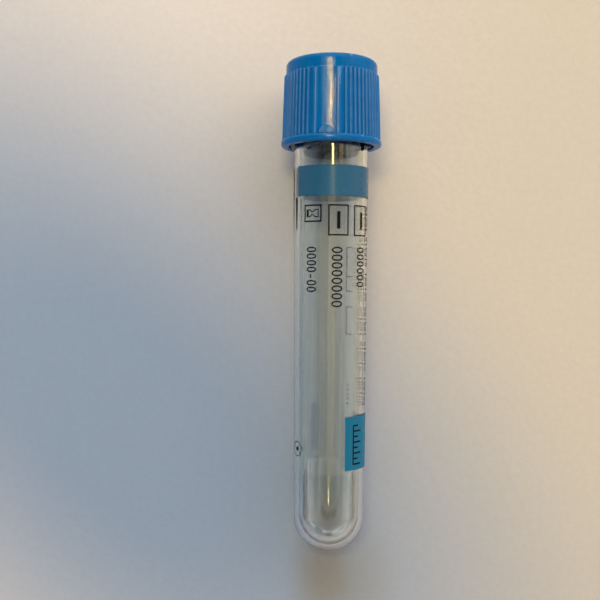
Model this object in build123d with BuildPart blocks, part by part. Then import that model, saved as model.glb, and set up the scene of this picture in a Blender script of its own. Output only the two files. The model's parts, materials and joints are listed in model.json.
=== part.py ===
from build123d import *
import os
from math import asin, atan2, cos, hypot, radians, sin

# A double-walled coagulation tube, closed by a ribbed screw cap with a rubber stopper. It lies on a table as it
# comes to rest: on its round base and on the flange of its cap, which is wider, so the cap end stands higher.
# Row frame: +X to the tube's side, +Y towards the cap, +Z up, origin at the middle of the bounding box's floor.
# Along the tube, heights are counted in mm from the pole of the round base towards the cap.

os.makedirs("parts", exist_ok=True)

# --- driving dimensions, mm and degrees ---

# outer tube
tube_length = 75.0  # base pole to the rim that the stopper sits on
base_radius = 5.87  # outside, where the round base meets the wall
neck_radius = 6.17  # outside of the straight band at the mouth
neck_band = 10.4  # length of that band, below the rim
outer_wall = 0.85
outer_base_wall = 0.9

# inner tube, hung by its lip on the outer tube's mouth
inner_wall = 0.5
inner_base_wall = 0.75
lip_thickness = 0.8
wall_gap = 0.05  # radial, between the two tubes
base_gap = 0.15  # between the two round bottoms
lip_edge = 0.25  # rounding of the lip's edges

# thread: lugs on the neck, ridges in the cap
thread_starts = 4
thread_lead = 12.0  # rise in one turn
thread_drop = 8.1  # rim down to the middle of a lug's lower end
lug_turn = 100.0  # length of a lug round the neck
lug_first = -40.0  # where the first lug begins, from the top towards +X
lug_height = 0.55
lug_root = 1.1
lug_crest = 0.7
ridge_turn = 80.0  # length of a ridge round the cap
ridge_lag = 30.0  # the ridges begin this much further round than the lugs
ridge_play = 0.15  # axial, each side of a lug
ridge_reach = 0.3  # how far a ridge's crest overlaps a lug's crest, radially
sink = 0.1  # how deep added features start inside the body they join

# stopper
plug_length = 9.0
plug_clearance = 0.04  # radial, plug to inner tube
plug_lead_in = 0.6
seat_gap = 0.02  # stopper's flange above the lip
flange_thickness = 1.95
flange_overhang = 0.15  # stopper's flange past the outside of the neck
groove_length = 1.3  # axial length of the groove that the ring grips
groove_radius = 3.6
head_radius = 4.5
head_length = 2.0
needle_well_radius = 2.2
needle_well_depth = 3.2
hollow_radius = 2.6
septum_thickness = 3.1
stopper_edge = 0.3

# cap
skirt_drop = 7.55  # rim down to the cap's lower edge
cap_rise = 6.5  # rim up to the cap's top face
skirt_gap = 0.83  # radial, neck to cap bore
skirt_wall_low = 0.9
skirt_wall_high = 0.6
top_thickness = 1.6
top_hole_radius = 5.5
top_edge = 0.88  # rounding of the top's outer edge
hole_edge = 0.25
collar_height = 2.3  # smooth band above the ribs
rolled_height = 1.15  # the rolled flange at the lower edge
rolled_reach = 0.485
rolled_edge = 0.45
mouth_edge = 0.3
bead_height = 0.45  # snap bead under the ring
bead_reach = 0.25

# ribs, in fields between smooth panels
panel_count = 3
panel_first = -7.9  # middle of the first panel, from the top towards +X
ribs_per_field = 14
border_rib_angle = 13.94  # middle of a panel to its border rib
field_rib_angle = 22.6  # middle of a panel to the nearest plain rib
rib_height = 0.29
rib_width = 0.52
foot_sink = 0.25  # how far ribs and bosses reach down into the rolled flange
border_rib_width = 0.9

# half-round boss at the foot of each panel
boss_radius = 1.25
boss_proud = 0.34

# ring in the cap's top
ring_gap = 0.05  # ring to cap, all round
grip_gap = 0.05  # ring to the stopper's groove, axially
grip_clearance = 0.08  # ring to the stopper, radially
ring_set_back = 0.3  # ring's top below the cap's top
ring_edge = 0.2

# label
label_thickness = 0.08
label_bottom = 13.9  # from the base pole
label_drop = 10.8  # rim down to the label's upper edge
label_seam = -89.0  # where the film's two ends face each other
label_seam_gap = 6.0

# citrate solution, lying as a pool along the low side
pool_end = 15.0  # how far up the tube the pool reaches
pool_front = 1.6  # rounding of its front
pool_clearance = 0.02

# --- derived heights along the tube ---

outer_rim = tube_length - lip_thickness
neck_start = tube_length - neck_band
cap_bottom = tube_length - skirt_drop
cap_top = tube_length + cap_rise
cap_ceiling = cap_top - top_thickness
rolled_top = cap_bottom + rolled_height
collar_bottom = cap_top - collar_height
label_top = tube_length - label_drop

plug_bottom = tube_length - plug_length
seat = tube_length + seat_gap
flange_top = seat + flange_thickness
head_bottom = flange_top + groove_length
head_top = head_bottom + head_length
well_floor = head_top - needle_well_depth
hollow_top = well_floor - septum_thickness

# --- derived radii ---

outer_bore_low = base_radius - outer_wall
outer_bore_high = neck_radius - outer_wall
inner_low = outer_bore_low - wall_gap
inner_high = outer_bore_high - wall_gap
bore_low = inner_low - inner_wall
bore_high = inner_high - inner_wall

cap_bore = neck_radius + skirt_gap
root_low = cap_bore + skirt_wall_low
root_high = cap_bore + skirt_wall_high
rolled_radius = root_low + rolled_reach

# middles of the round bottoms
outer_bore_centre = outer_base_wall + outer_bore_low
inner_pole = outer_base_wall + base_gap
inner_centre = inner_pole + inner_low
bore_pole = inner_pole + inner_base_wall
bore_centre = bore_pole + bore_low


def bore_radius(height):
    """Radius of the inner tube's bore at a height above its round bottom."""
    return bore_low + (bore_high - bore_low) * (height - bore_centre) / (tube_length - bore_centre)


def wall_radius(height):
    """Radius of the outer tube's outside between its round base and its neck band."""
    return base_radius + (neck_radius - base_radius) * (height - base_radius) / (neck_start - base_radius)


# --- how it rests: on the base's sphere and on the rounded lower edge of the rolled flange ---

rest_run = cap_bottom + rolled_edge - base_radius
rest_rise = rolled_radius - rolled_edge
tilt = atan2(rest_rise, rest_run) - asin((base_radius - rolled_edge) / hypot(rest_run, rest_rise))
up_side = (0, -sin(tilt), cos(tilt))
along = (0, cos(tilt), sin(tilt))

low_y = base_radius * cos(tilt) - base_radius
high_y = (cap_top - top_edge) * cos(tilt) + (root_high - top_edge) * sin(tilt) + top_edge
pole = (0, -(low_y + high_y) / 2, base_radius - base_radius * sin(tilt))

tube_axis = Axis(pole, along)
tube_plane = Plane(pole, x_dir=(1, 0, 0), z_dir=along)


def meridian(angle):
    """Plane through the axis: x outwards at this angle from the top side towards +X, y along the tube."""
    side = Vector(1, 0, 0) * sin(radians(angle)) + Vector(*up_side) * cos(radians(angle))
    return Plane(pole, x_dir=side, z_dir=side.cross(Vector(*along)))


def turned(angle, height=0.0):
    """Place on the axis at a height, its x axis outwards at this angle from the top side towards +X."""
    side = meridian(angle).x_dir
    centre = Vector(*pole) + Vector(*along) * height
    return Location(Plane(centre, x_dir=side, z_dir=Vector(*along)))


# --- thread: its profile, shared by the lugs and the ridges that run between them ---

thread_pitch = thread_lead / thread_starts
lug_low = tube_length - thread_drop
lug_tip = neck_radius + lug_height
ridge_tip = lug_tip - ridge_reach


def lug_half(radius):
    """Half the axial thickness of a lug at a distance from the axis."""
    return (lug_root - (lug_root - lug_crest) * (radius - neck_radius) / lug_height) / 2


def ridge_half(radius):
    """Half the axial thickness of a ridge, which fills the space between two lugs but for its play."""
    return thread_pitch / 2 - ridge_play - lug_half(radius)


# one lug, standing on its own upright axis and beginning on +X
with BuildPart() as lug:
    with BuildLine() as lug_path:
        Helix(thread_lead, thread_lead * lug_turn / 360, neck_radius)
    with BuildSketch(Plane(lug_path.line @ 0, x_dir=(1, 0, 0), z_dir=lug_path.line % 0)):
        with BuildLine():
            foot = lug_half(neck_radius - sink)
            tip = lug_half(lug_tip)
            Polyline((-sink, -foot), (lug_height, -tip), (lug_height, tip), (-sink, foot), close=True)
        make_face()
    sweep(path=lug_path.line, is_frenet=True)

# one ridge, likewise
with BuildPart() as ridge:
    with BuildLine() as ridge_path:
        Helix(thread_lead, thread_lead * ridge_turn / 360, cap_bore)
    with BuildSketch(Plane(ridge_path.line @ 0, x_dir=(1, 0, 0), z_dir=ridge_path.line % 0)):
        with BuildLine():
            foot = ridge_half(cap_bore + sink)
            tip = ridge_half(ridge_tip)
            inward = ridge_tip - cap_bore
            Polyline((sink, -foot), (inward, -tip), (inward, tip), (sink, foot), close=True)
        make_face()
    sweep(path=ridge_path.line, is_frenet=True)

lug_places = [turned(lug_first + k * 360 / thread_starts, lug_low) for k in range(thread_starts)]
ridge_low = lug_low + thread_pitch / 2 + thread_lead * ridge_lag / 360
ridge_places = [
    turned(lug_first + ridge_lag + k * 360 / thread_starts, ridge_low) for k in range(thread_starts)
]

# --- outer tube ---

with BuildPart() as outer_tube:
    with BuildSketch(meridian(0)):
        with BuildLine():
            CenterArc((0, base_radius), base_radius, -90, 90)
            Polyline(
                (base_radius, base_radius),
                (neck_radius, neck_start),
                (neck_radius, outer_rim),
                (outer_bore_high, outer_rim),
                (outer_bore_low, outer_bore_centre),
            )
            CenterArc((0, outer_bore_centre), outer_bore_low, -90, 90)
            Line((0, outer_base_wall), (0, 0))
        make_face()
    revolve(axis=tube_axis)
    with Locations(*lug_places):
        add(lug.part)
outer_tube.part.label = "outer_tube"
export_step(outer_tube.part, "parts/outer_tube.step")

# --- inner tube, hanging by its lip on the outer tube's rim ---

with BuildPart() as inner_tube:
    with BuildSketch(meridian(0)) as inner_outline:
        with BuildLine():
            CenterArc((0, inner_centre), inner_low, -90, 90)
            Polyline(
                (inner_low, inner_centre),
                (inner_high, outer_rim),
                (neck_radius, outer_rim),
                (neck_radius, tube_length),
                (bore_high, tube_length),
                (bore_low, bore_centre),
            )
            CenterArc((0, bore_centre), bore_low, -90, 90)
            Line((0, bore_pole), (0, inner_pole))
        make_face()
        fillet(inner_outline.vertices().group_by(Axis.Y)[-1], lip_edge)
    revolve(axis=tube_axis)
inner_tube.part.label = "inner_tube"
export_step(inner_tube.part, "parts/inner_tube.step")

# --- label, a film stuck round the outer tube but for the seam between its ends ---

with BuildPart() as label:
    with BuildSketch(meridian(label_seam + label_seam_gap / 2)):
        with BuildLine():
            Polyline(
                (wall_radius(label_bottom), label_bottom),
                (wall_radius(label_bottom) + label_thickness, label_bottom),
                (wall_radius(label_top) + label_thickness, label_top),
                (wall_radius(label_top), label_top),
                close=True,
            )
        make_face()
    revolve(axis=tube_axis, revolution_arc=360 - label_seam_gap)
label.part.label = "label"
export_step(label.part, "parts/label.step")

# --- citrate solution: what the bore holds below a level surface through the middle of its round bottom ---

with BuildPart() as citrate_solution:
    with BuildSketch(meridian(0)):
        with BuildLine():
            pool_low = bore_low - pool_clearance
            pool_high = bore_radius(pool_end) - pool_clearance
            CenterArc((0, bore_centre), pool_low, -90, 90)
            Polyline((pool_low, bore_centre), (pool_high, pool_end), (0, pool_end), (0, bore_centre - pool_low))
        make_face()
    revolve(axis=tube_axis)
    level = Vector(*pole) + Vector(*along) * bore_centre
    split(bisect_by=Plane(level), keep=Keep.BOTTOM)
    surface = citrate_solution.faces().sort_by(Axis.Z)[-1]
    fillet(surface.edges().sort_by(Axis.Y)[-1], pool_front)
citrate_solution.part.label = "citrate_solution"
export_step(citrate_solution.part, "parts/citrate_solution.step")

# --- stopper: a hollow plug, a flange on the lip, and a head that the ring grips, with a well for the needle ---

with BuildPart() as stopper:
    with BuildSketch(meridian(0)):
        with BuildLine():
            flange_radius = neck_radius + flange_overhang
            plug_foot = (bore_radius(plug_bottom) - plug_clearance, plug_bottom)
            plug_root = (bore_high - plug_clearance, seat)
            stopper_outline = {
                (0, hollow_top): 0,
                (hollow_radius, hollow_top): plug_lead_in,
                (hollow_radius, plug_bottom): stopper_edge,
                plug_foot: plug_lead_in,
                plug_root: 0,
                (flange_radius, seat): stopper_edge,
                (flange_radius, flange_top): stopper_edge,
                (groove_radius, flange_top): 0,
                (groove_radius, head_bottom): 0,
                (head_radius, head_bottom): stopper_edge,
                (head_radius, head_top): stopper_edge,
                (needle_well_radius, head_top): stopper_edge,
                (needle_well_radius, well_floor): stopper_edge,
                (0, well_floor): 0,
            }
            FilletPolyline(*stopper_outline, radius=stopper_outline.values(), close=True)
        make_face()
    revolve(axis=tube_axis)
stopper.part.label = "stopper"
export_step(stopper.part, "parts/stopper.step")

# --- ring: pressed into the cap from below, its lip in the stopper's groove, its collar up through the cap's top ---

ring_bottom = flange_top + grip_gap

with BuildPart() as cap_ring:
    with BuildSketch(meridian(0)):
        with BuildLine():
            ring_outline = {
                (groove_radius + grip_clearance, ring_bottom): ring_edge,
                (cap_bore - ring_gap, ring_bottom): ring_edge,
                (cap_bore - ring_gap, cap_ceiling - ring_gap): 0,
                (top_hole_radius - ring_gap, cap_ceiling - ring_gap): 0,
                (top_hole_radius - ring_gap, cap_top - ring_set_back): ring_edge,
                (head_radius + grip_clearance, cap_top - ring_set_back): ring_edge,
                (head_radius + grip_clearance, head_bottom - grip_gap): 0,
                (groove_radius + grip_clearance, head_bottom - grip_gap): ring_edge,
            }
            FilletPolyline(*ring_outline, radius=ring_outline.values(), close=True)
        make_face()
    revolve(axis=tube_axis)
cap_ring.part.label = "cap_ring"
export_step(cap_ring.part, "parts/cap_ring.step")

# --- cap ---

bead_top = ring_bottom - ring_gap
panel_angles = [panel_first + k * 360 / panel_count for k in range(panel_count)]
rib_step = (360 / panel_count - 2 * field_rib_angle) / (ribs_per_field - 1)
rib_angles = [p + field_rib_angle + n * rib_step for p in panel_angles for n in range(ribs_per_field)]
border_angles = [p + side * border_rib_angle for p in panel_angles for side in (-1, 1)]
rib_length = hypot(collar_bottom - rolled_top, root_low - root_high) + foot_sink


def rib_plane(angle):
    """Plane across the foot of a rib, sunk in the flange and the wall: x round the cap, z up its tapered side."""
    side = meridian(angle).x_dir
    up = (Vector(*along) * (collar_bottom - rolled_top) + side * (root_high - root_low)).normalized()
    foot = Vector(*pole) + Vector(*along) * rolled_top + side * (root_low - sink) - up * foot_sink
    return Plane(foot, x_dir=Vector(*along).cross(side), z_dir=up)


def boss_plane(angle):
    """Plane on the cap's side at the foot of a panel: x round the cap, y along the tube."""
    side = meridian(angle).x_dir
    foot = Vector(*pole) + Vector(*along) * rolled_top + side * (root_low - skirt_wall_low / 2)
    return Plane(foot, x_dir=Vector(*along).cross(side), z_dir=side)


with BuildPart() as cap:
    with BuildSketch(meridian(0)):
        with BuildLine():
            cap_outline = {
                (cap_bore, cap_bottom): mouth_edge,
                (rolled_radius, cap_bottom): rolled_edge,
                (rolled_radius, rolled_top): rolled_edge,
                (root_low, rolled_top): 0,
                (root_high, collar_bottom): 0,
                (root_high, cap_top): top_edge,
                (top_hole_radius, cap_top): hole_edge,
                (top_hole_radius, cap_ceiling): 0,
                (cap_bore, cap_ceiling): 0,
                (cap_bore, bead_top): 0,
                (cap_bore - bead_reach, bead_top - bead_height / 2): 0,
                (cap_bore, bead_top - bead_height): 0,
            }
            FilletPolyline(*cap_outline, radius=cap_outline.values(), close=True)
        make_face()
    revolve(axis=tube_axis)
    with BuildSketch(*[rib_plane(a) for a in rib_angles]):
        Ellipse(rib_width / 2, rib_height + sink)
    extrude(amount=rib_length)
    with BuildSketch(*[rib_plane(a) for a in border_angles]):
        Ellipse(border_rib_width / 2, rib_height + sink)
    extrude(amount=rib_length)
    with BuildSketch(*[boss_plane(a) for a in panel_angles]):
        with BuildLine():
            CenterArc((0, 0), boss_radius, 0, 180)
            Polyline(
                (-boss_radius, 0),
                (-boss_radius, -foot_sink),
                (boss_radius, -foot_sink),
                (boss_radius, 0),
            )
        make_face()
    extrude(amount=skirt_wall_low / 2 + boss_proud)
    with Locations(*ridge_places):
        add(ridge.part)
cap.part.label = "cap"
export_step(cap.part, "parts/cap.step")
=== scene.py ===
"""A double-walled coagulation tube with a ribbed screw cap, lying on a sheet of paper.

Every piece is wound round the tube's axis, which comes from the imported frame. Heights are counted along the axis
from the pole of the round base, angles from the top side towards +X. Outlines are in millimetres, meshes in metres.
"""

import json
import math

import bmesh
import bpy
import numpy as np
from mathutils import Matrix, Vector

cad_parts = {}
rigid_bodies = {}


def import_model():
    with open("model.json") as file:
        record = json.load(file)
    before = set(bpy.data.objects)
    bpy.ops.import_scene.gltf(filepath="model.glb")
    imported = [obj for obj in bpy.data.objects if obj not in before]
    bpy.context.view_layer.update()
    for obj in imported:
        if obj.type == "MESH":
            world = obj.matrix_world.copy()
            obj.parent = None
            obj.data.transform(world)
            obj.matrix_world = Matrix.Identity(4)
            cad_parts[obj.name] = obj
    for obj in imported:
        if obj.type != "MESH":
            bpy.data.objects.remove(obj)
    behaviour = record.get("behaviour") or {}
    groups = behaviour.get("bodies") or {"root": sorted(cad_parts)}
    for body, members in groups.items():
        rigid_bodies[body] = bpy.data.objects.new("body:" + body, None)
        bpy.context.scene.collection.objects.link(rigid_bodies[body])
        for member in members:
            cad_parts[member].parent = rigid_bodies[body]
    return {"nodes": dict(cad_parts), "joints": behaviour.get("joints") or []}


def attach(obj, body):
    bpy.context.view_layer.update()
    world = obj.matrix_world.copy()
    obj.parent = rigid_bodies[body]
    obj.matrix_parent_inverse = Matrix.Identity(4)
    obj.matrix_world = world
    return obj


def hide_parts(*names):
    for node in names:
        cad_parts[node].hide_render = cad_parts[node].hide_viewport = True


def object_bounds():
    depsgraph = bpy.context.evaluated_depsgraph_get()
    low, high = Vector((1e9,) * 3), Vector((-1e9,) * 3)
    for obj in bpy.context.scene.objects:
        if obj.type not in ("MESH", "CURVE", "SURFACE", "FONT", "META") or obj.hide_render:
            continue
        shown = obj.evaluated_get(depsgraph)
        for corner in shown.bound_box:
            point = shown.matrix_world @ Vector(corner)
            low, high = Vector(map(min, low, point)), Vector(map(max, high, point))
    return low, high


bl_info = {
    "name": "Coagulation tube",
    "version": (1, 0, 0),
    "blender": (4, 5, 0),
    "location": "3D View > Sidebar > Tube",
    "description": "Builds a double-walled tube with its printed label, liquid, stopper and ribbed cap",
    "category": "Object",
}

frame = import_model()
cad_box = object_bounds()

MM = 0.001

# --- the tube's own axis, read from the frame ---

twist = next(j for j in frame["joints"] if j["name"] == "cap_twist")
ALONG = Vector(twist["axis"]).normalized()
RIM = Vector(twist["pos_m"])
LENGTH = -min((v.co - RIM).dot(ALONG) for v in frame["nodes"]["outer_tube"].data.vertices)
POLE = RIM - ALONG * LENGTH
ACROSS = Vector((1, 0, 0))
UPWARD = ACROSS.cross(ALONG)
TILT = math.atan2(ALONG.z, ALONG.y)

# --- sizes, mm and degrees ---

TUBE_LENGTH = LENGTH / MM
BASE_RADIUS = 5.87
NECK_RADIUS = 6.17
NECK_START = 64.6
OUTER_RIM = 74.2
OUTER_BORE_LOW = 5.02
OUTER_BORE_HIGH = 5.32
OUTER_BORE_POLE = 0.9

INNER_LOW = 4.97
INNER_HIGH = 5.27
INNER_POLE = 1.05
BORE_LOW = 4.47
BORE_HIGH = 4.77
BORE_POLE = 1.8
LIP_EDGE = 0.25
LIP_GAP = 0.01

THREAD_LEAD = 12.0
THREAD_STARTS = 4
THREAD_END = 0.8
LUG_LOW = 66.9
LUG_FIRST = -40.0
LUG_TURN = 100.0
LUG_HEIGHT = 0.55
LUG_ROOT = 1.1
LUG_CREST = 0.7
LUG_ROWS = (66.0, 71.4, 0.06)
RIDGE_LOW = 69.4
RIDGE_FIRST = -10.0
RIDGE_TURN = 80.0
RIDGE_TIP = 6.42
RIDGE_ROOT_WIDTH = 2.2
RIDGE_TIP_WIDTH = 1.78
RIDGE_ROWS = (73.6, 68.0, -0.14)

CAP_BORE = 7.0
CAP_BOTTOM = 67.45
ROLLED_TOP = 68.6
ROLLED_RADIUS = 8.385
ROLLED_EDGE = 0.45
ROOT_LOW = 7.9
ROOT_HIGH = 7.6
COLLAR_BOTTOM = 79.2
CAP_TOP = 81.5
CAP_CEILING = 79.9
TOP_EDGE = 0.88
TOP_HOLE = 5.5
HOLE_EDGE = 0.25
MOUTH_EDGE = 0.3
BEAD_TOP = 76.97
BEAD_HEIGHT = 0.45
BEAD_REACH = 0.25

PANELS = (-7.9, 112.1, 232.1)
BORDER_RIB = 13.94
FIRST_RIB = 22.6
RIBS = 14
RIB_STEP = (120 - 2 * FIRST_RIB) / (RIBS - 1)
RIB_HEIGHT = 0.29
RIB_SINK = 0.1
RIB_HALF = 1.92
RIB_TOP_EDGE = 0.25
BORDER_HALF = 3.32
BOSS_RADIUS = 1.25
BOSS_FACE = 8.24
# every rib of a panel: its place and half its width
RIB_PLACES = [(FIRST_RIB + k * RIB_STEP, RIB_HALF) for k in range(RIBS)]
RIB_PLACES += [(-BORDER_RIB, BORDER_HALF), (BORDER_RIB, BORDER_HALF)]

LABEL_BOTTOM = 13.9
LABEL_TOP = 64.2
FILM_THICKNESS = 0.08
FILM_START = -86.0
FILM_TURN = 354.0

POOL_END = 15.0
POOL_CLEARANCE = 0.02
POOL_NOSE = 4.0
POOL_CLIMB, POOL_CLIMB_WIDTH = 0.16, 0.4

PLUG_LOW = 66.0
PLUG_CLEARANCE = 0.04
PLUG_EDGE = 0.6
HOLLOW_RADIUS, HOLLOW_TOP = 2.6, 73.97
SEAT, SEAT_RADIUS, SEAT_TOP = 75.02, 6.32, 76.97
GROOVE_RADIUS, GROOVE_TOP = 3.6, 78.27
HEAD_RADIUS, HEAD_TOP = 4.5, 80.27
WELL_RADIUS, WELL_FLOOR = 2.2, 77.07
STOPPER_EDGE = 0.3

RING_GAP = 0.05
RING_GRIP = 0.08
RING_TOP = 81.2
RING_EDGE = 0.2


# --- colours ---


def srgb(red, green, blue):
    """Linear colour of a screen colour given in 0 to 255."""
    return tuple(
        c / 12.92 if c <= 0.04045 else ((c + 0.055) / 1.055) ** 2.4
        for c in (red / 255, green / 255, blue / 255)
    )


def colour_property(name, description, default):
    return bpy.props.FloatVectorProperty(
        name=name, description=description, subtype="COLOR", size=3, min=0, max=1, default=default
    )


def length_property(name, description, default, low, high, **more):
    return bpy.props.FloatProperty(
        name=name, description=description, default=default, min=low, max=high, subtype="DISTANCE", unit="LENGTH",
        **more,
    )


class TubeColours(bpy.types.PropertyGroup):
    """Colours of the tube's finishes."""

    cap: colour_property("Cap", "Colour of the screw cap", srgb(0, 106, 178))
    band: colour_property("Band", "Ink of the header band", srgb(40, 96, 132))
    box: colour_property("Box", "Ink of the lower box", srgb(18, 112, 152))
    ink: colour_property("Ink", "Ink of the marks", srgb(10, 11, 13))
    rubber: colour_property("Rubber", "Colour of the stopper", srgb(62, 62, 66))
    ring: colour_property("Ring", "Colour of the ring in the cap", srgb(30, 30, 33))
    paper_pale: colour_property("Paper", "Paper on the far left", (0.92, 0.83, 0.834))
    # painted light: a warmer tone where the paper is lit from the right
    paper_painted_warm_light: colour_property("Paper, warm", "Paper on the warmer right side", (0.799, 0.698, 0.618))
    # painted shadow: a cool shaded oval on the paper beside the tube
    paper_painted_cool_shadow: colour_property("Paper, cool", "Paper in the cooler oval beside the tube", (0.316, 0.405, 0.601))


class TubeSizes(bpy.types.PropertyGroup):
    """Sizes that a user may change without leaving the tube's fits."""

    facets: bpy.props.IntProperty(
        name="Facets", description="Facets round the clear tubes", default=240, min=48, max=360
    )
    stroke: length_property("Stroke", "Width of the printed lines", 0.00023, 0.00005, 0.0005)
    ink_height: length_property(
        "Ink height", "How far the ink stands on the film", 0.000012, 0.000005, 0.00005, precision=6
    )
    camera_height: length_property("Camera height", "Height of the camera over the paper", 0.15086, 0.1, 1)


# --- meshes wound round the axis ---

ROUND_FACETS = 128  # round the stopper and the ring


def positions(radius, height, angle):
    """Points at a radius and a height in mm and an angle in radians, each one number or an array."""
    radius, height, angle = np.broadcast_arrays(radius, height, angle)
    side = np.multiply.outer(np.sin(angle), ACROSS) + np.multiply.outer(np.cos(angle), UPWARD)
    return np.array(POLE) + np.multiply.outer(height * MM, ALONG) + side * (radius * MM)[..., None]


def rounded(corners, steps=6):
    """Closed outline with each corner (radius, height, fillet) rounded by its fillet."""
    points = []
    for i, (r, h, fillet) in enumerate(corners):
        here = np.array((r, h))
        if not fillet:
            points.append((r, h))
            continue
        back = np.array(corners[i - 1][:2]) - here
        on = np.array(corners[(i + 1) % len(corners)][:2]) - here
        back, on = back / np.linalg.norm(back), on / np.linalg.norm(on)
        half = math.acos(np.clip(back @ on, -1, 1)) / 2
        middle = here + (back + on) / np.linalg.norm(back + on) * fillet / math.sin(half)
        first = here + back * fillet / math.tan(half) - middle
        last = here + on * fillet / math.tan(half) - middle
        start = math.atan2(first[1], first[0])
        turn = (math.atan2(last[1], last[0]) - start + math.pi) % (2 * math.pi) - math.pi
        for k in range(steps + 1):
            a = start + turn * k / steps
            points.append((middle[0] + fillet * math.cos(a), middle[1] + fillet * math.sin(a)))
    return points


def dome(radius, centre, steps=24):
    """Quarter circle from the axis below a centre out to its full radius."""
    turns = [math.radians(-90 + 90 * k / steps) for k in range(steps + 1)]
    return [(radius * math.cos(t), centre + radius * math.sin(t)) for t in turns]


def line(start, end, count):
    """Points of a straight stretch, its ends included."""
    return [tuple(np.array(start) + (np.array(end) - start) * k / (count - 1)) for k in range(count)]


def new_object(name, data):
    made = bpy.data.objects.new(name, data)
    bpy.context.scene.collection.objects.link(made)
    return made


def finish_mesh(name, vertices, faces, crease=35.0):
    """New object from points and faces: doubles merged, normals outwards, smooth but for its creases."""
    mesh = bpy.data.meshes.new(name)
    mesh.from_pydata([tuple(v) for v in vertices], [], faces)
    work = bmesh.new()
    work.from_mesh(mesh)
    bmesh.ops.remove_doubles(work, verts=work.verts, dist=1e-7)
    bmesh.ops.dissolve_degenerate(work, edges=work.edges, dist=1e-7)
    bmesh.ops.recalc_face_normals(work, faces=work.faces)
    work.to_mesh(mesh)
    work.free()
    mesh.shade_smooth()
    mesh.set_sharp_from_angle(angle=math.radians(crease))
    return new_object(name, mesh)


def grid_faces(ids, wrap_rows, wrap_columns):
    """Quads of a grid of vertex numbers, as triangles where two corners are one vertex."""
    rows, columns = ids.shape
    faces = []
    for i in range(rows if wrap_rows else rows - 1):
        low, high = ids[i], ids[(i + 1) % rows]
        for j in range(columns if wrap_columns else columns - 1):
            k = (j + 1) % columns
            loop = [int(n) for n in (low[j], low[k], high[k], high[j])]
            kept = [n for m, n in enumerate(loop) if n != loop[m - 1]]
            if len(kept) > 2:
                faces.append(kept)
    return faces


def wound(name, rows, angles, looped, crease=35.0):
    """Body wound round the axis. A row is a radius and a height, each one number or one for every angle.

    looped joins the last row to the first; otherwise both end rows are points on the axis.
    """
    points, ids, count = [], [], 0
    for radius, height in rows:
        if np.max(radius) < 1e-6:
            points.append(positions(0.0, np.mean(height), 0.0))
            ids.append(np.full(len(angles), count))
            count += 1
        else:
            points.append(positions(radius, height, angles))
            ids.append(np.arange(len(angles)) + count)
            count += len(angles)
    return finish_mesh(name, np.vstack(points), grid_faces(np.array(ids), looped, True), crease)


def bowl(pole, low, high, top):
    """Outline of a round bottom from a pole on the axis and of the wall over it, a radius low and high."""
    return dome(low, pole + low) + line((low, pole + low), (high, top), 20)[1:]


def full_turn(facets):
    return np.linspace(0, 2 * math.pi, facets, endpoint=False)


def wall_radius(height):
    """Outside of the outer tube between its round base and its neck."""
    return BASE_RADIUS + (NECK_RADIUS - BASE_RADIUS) * (height - BASE_RADIUS) / (NECK_START - BASE_RADIUS)


def bore_radius(height):
    """Bore of the inner tube above its round bottom."""
    centre = BORE_POLE + BORE_LOW
    return BORE_LOW + (BORE_HIGH - BORE_LOW) * (height - centre) / (TUBE_LENGTH - centre)


def thread_profile(angles, height, low, first, turn, radius, root_width, tip_width):
    """How much of a thread's depth stands at a height, for every angle, 0 to 1."""
    slope = math.cos(math.atan2(THREAD_LEAD, 2 * math.pi * radius))
    share = np.zeros(len(angles))
    for k in range(THREAD_STARTS):
        start = first + 360 * k / THREAD_STARTS
        past = (np.degrees(angles) - start + 10) % 360 - 10
        off = np.abs(height - low - THREAD_LEAD * past / 360) * slope
        flank = np.clip((root_width / 2 - off) / ((root_width - tip_width) / 2), 0, 1)
        ends = np.clip(past / THREAD_END, 0, 1) * np.clip((turn - past) / THREAD_END, 0, 1)
        share = np.maximum(share, flank * ends)
    return share


# --- shader helpers ---

WHITE = (1.0, 1.0, 1.0)


def put(tree, entry, value):
    """Links a socket into an input, or sets the input's plain value."""
    if isinstance(value, bpy.types.NodeSocket):
        tree.links.new(value, entry)
    else:
        entry.default_value = value


def add_node(tree, kind, **values):
    """New node; a value whose name is an input's goes into that input, any other sets a property."""
    node = tree.nodes.new(kind)
    for key, value in values.items():
        label = key.replace("_", " ").title()
        if label in node.inputs:
            put(tree, node.inputs[label], value)
        else:
            setattr(node, key, value)
    return node


def maths(tree, operation, *values, kind="ShaderNodeMath", result="Value"):
    """Result of an operation on numbers or sockets."""
    node = add_node(tree, kind, operation=operation)
    for entry, value in zip(node.inputs, values):
        put(tree, entry, value)
    return node.outputs[result]


def vectors(tree, operation, *values, result="Vector"):
    """The same on vectors."""
    return maths(tree, operation, *values, kind="ShaderNodeVectorMath", result=result)


def spread(tree, value, low, high, start=0.0, end=1.0, **more):
    """A value brought from start..end to low..high."""
    ends = {"from_min": start, "from_max": end, "to_min": low, "to_max": high}
    return add_node(tree, "ShaderNodeMapRange", clamp=True, value=value, **ends, **more).outputs["Result"]


def smooth_step(tree, value, start, end):
    """The same to 0..1 with soft ends."""
    return spread(tree, value, 0.0, 1.0, start, end, interpolation_type="SMOOTHSTEP")


def mix_colours(tree, factor, first, second, blend_type="MIX"):
    """Colour between two, by a socket."""
    mix = add_node(tree, "ShaderNodeMix", data_type="RGBA", blend_type=blend_type, factor=factor)
    for entry, value in zip([s for s in mix.inputs if s.type == "RGBA"], (first, second)):
        put(tree, entry, value if isinstance(value, bpy.types.NodeSocket) else (*value, 1))
    return next(s for s in mix.outputs if s.type == "RGBA")


def fade(tree, value, start, end, first, second):
    """Colour that goes from the first to the second as a value goes from start to end."""
    return mix_colours(tree, spread(tree, value, 0, 1, start, end), first, second)


def multiplied(tree, first, second):
    """Product of two colours."""
    return mix_colours(tree, 1.0, first, second, "MULTIPLY")


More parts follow.
